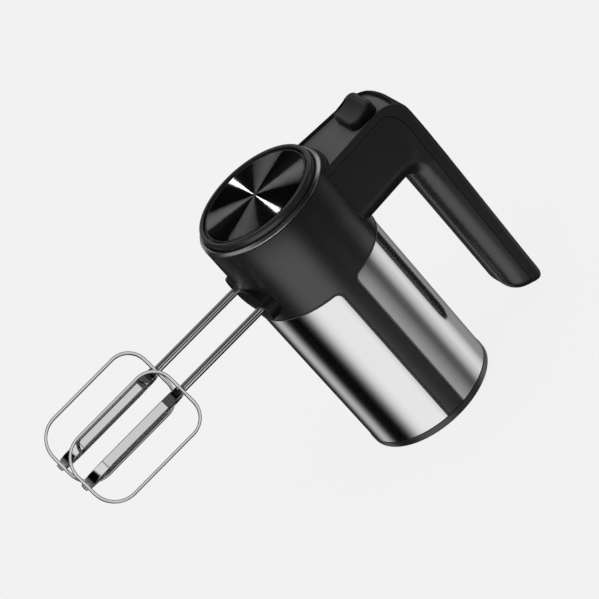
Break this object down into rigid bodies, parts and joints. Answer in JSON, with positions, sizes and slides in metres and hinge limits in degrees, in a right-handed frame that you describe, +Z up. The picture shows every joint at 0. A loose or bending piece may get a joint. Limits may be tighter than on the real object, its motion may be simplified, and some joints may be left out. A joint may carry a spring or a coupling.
{
  "type": "hand mixer",
  "caption": "Round upright hand mixer standing on its heel: steel-panelled body, hooked side handle with speed slide and eject button, twin wire-loop beaters leaving the side.",
  "frame": {"origin": "centre of the heel's flat underside, on the body's axis", "axes": "+Z up the body's axis, +Y towards the handle, -Y along the beaters, +X to the side of the left beater"},
  "size_m": [0.0904, 0.3027, 0.1857],
  "materials": {
    "matte_black": "fine satin-matte black moulding",
    "gloss_black": "polished black moulding",
    "disc_black": "black metal disc with fine spun rings",
    "inlay_grey": "smooth dark grey moulding",
    "panel_steel": "bright steel sheet, fine vertical brushing",
    "ring_satin": "satin turned ring",
    "beater_chrome": "bright chromium plate",
    "gear_case": "filled dark grey moulding",
    "white_nylon": "off-white nylon",
    "inner_steel": "plain ground steel",
    "lamination": "stacked sheet iron",
    "copper": "enamelled copper wire and bars",
    "bronze": "sintered bronze and sheet brass",
    "carbon": "pressed carbon",
    "lead_sleeve": "soft insulating sleeve"
  },
  "bodies": {
    "mixer": {"beater_boss": "gloss_black", "body_shell": "matte_black", "brush_front": "carbon", "brush_holder_front": "bronze", "brush_holder_rear": "bronze", "brush_rear": "carbon", "cord_gland": "matte_black", "disc_insert": "disc_black", "field_coil_left": "copper", "field_coil_right": "copper", "field_core": "lamination", "gear_box": "gear_case", "gear_cover": "gear_case", "handle_inlay": "inlay_grey", "handle_shell": "matte_black", "handle_spine": "matte_black", "heel_cap": "matte_black", "heel_screw_front": "inner_steel", "heel_screw_rear": "inner_steel", "lead_live": "lead_sleeve", "lead_neutral": "lead_sleeve", "lower_bearing": "bronze", "lower_bracket": "inner_steel", "panel_front": "panel_steel", "panel_rear": "panel_steel", "rim_cap": "gloss_black", "shoulder_ring": "ring_satin", "sleeve_bush_left": "bronze", "sleeve_bush_right": "bronze", "switch_body": "gear_case", "upper_bearing": "bronze", "upper_bracket": "inner_steel", "worm_end_bearing": "bronze"},
    "armature": {"armature_shaft": "inner_steel", "commutator": "copper", "winding_lower": "copper", "winding_upper": "copper", "armature_core": "lamination", "fan": "white_nylon", "worm": "inner_steel"},
    "drive_left": {"worm_gear_left": "white_nylon", "drive_sleeve_left": "inner_steel"},
    "drive_right": {"worm_gear_right": "white_nylon", "drive_sleeve_right": "inner_steel"},
    "pin_left": {"push_pin_left": "inner_steel"},
    "pin_right": {"push_pin_right": "inner_steel"},
    "beater_left": {"beater_shaft_left": "beater_chrome", "beater_loop_wide_left": "beater_chrome", "beater_loop_cross_left": "beater_chrome", "beater_rivet_left": "beater_chrome"},
    "beater_right": {"beater_shaft_right": "beater_chrome", "beater_loop_wide_right": "beater_chrome", "beater_loop_cross_right": "beater_chrome", "beater_rivet_right": "beater_chrome"},
    "carriage": {"speed_slide": "matte_black", "speed_carriage": "white_nylon", "contact_slider": "bronze"},
    "button": {"eject_button": "inlay_grey"},
    "ejector": {"ejector_yoke": "white_nylon"}
  },
  "joints": [
    {"name": "armature_spin", "type": "hinge", "parent": "mixer", "child": "armature", "pos_m": [0, 0, 0.064], "axis": [0, 0, 1], "continuous": true},
    {"name": "speed_select", "type": "slide", "parent": "mixer", "child": "carriage", "axis": [0, -1, 0], "range_m": [0, 0.012]},
    {"name": "eject_press", "type": "slide", "parent": "carriage", "child": "button", "axis": [0, 0, -1], "range_m": [0, 0.004], "stiffness_N_per_m": 500, "springref_m": -0.002},
    {"name": "ejector_push", "type": "slide", "parent": "mixer", "child": "ejector", "axis": [0, -1, 0], "range_m": [0, 0.004]},
    {"name": "drive_left_spin", "type": "hinge", "parent": "mixer", "child": "drive_left", "pos_m": [0.01985, 0, 0.13742], "axis": [0, 1, 0], "continuous": true},
    {"name": "pin_left_push", "type": "slide", "parent": "drive_left", "child": "pin_left", "axis": [0, -1, 0], "range_m": [0, 0.004]},
    {"name": "beater_left_pull", "type": "slide", "parent": "pin_left", "child": "beater_left", "axis": [0, -1, 0], "range_m": [0, 0.05]},
    {"name": "drive_right_spin", "type": "hinge", "parent": "mixer", "child": "drive_right", "pos_m": [-0.01985, 0, 0.13742], "axis": [0, 1, 0], "continuous": true},
    {"name": "pin_right_push", "type": "slide", "parent": "drive_right", "child": "pin_right", "axis": [0, -1, 0], "range_m": [0, 0.004]},
    {"name": "beater_right_pull", "type": "slide", "parent": "pin_right", "child": "beater_right", "axis": [0, -1, 0], "range_m": [0, 0.05]}
  ],
  "couplings": [
    {"joint": "ejector_push", "follows": "eject_press", "ratio": 1},
    {"joint": "drive_left_spin", "follows": "armature_spin", "ratio": -0.041667},
    {"joint": "pin_left_push", "follows": "eject_press", "ratio": 1},
    {"joint": "drive_right_spin", "follows": "armature_spin", "ratio": 0.041667},
    {"joint": "pin_right_push", "follows": "eject_press", "ratio": 1}
  ]
}
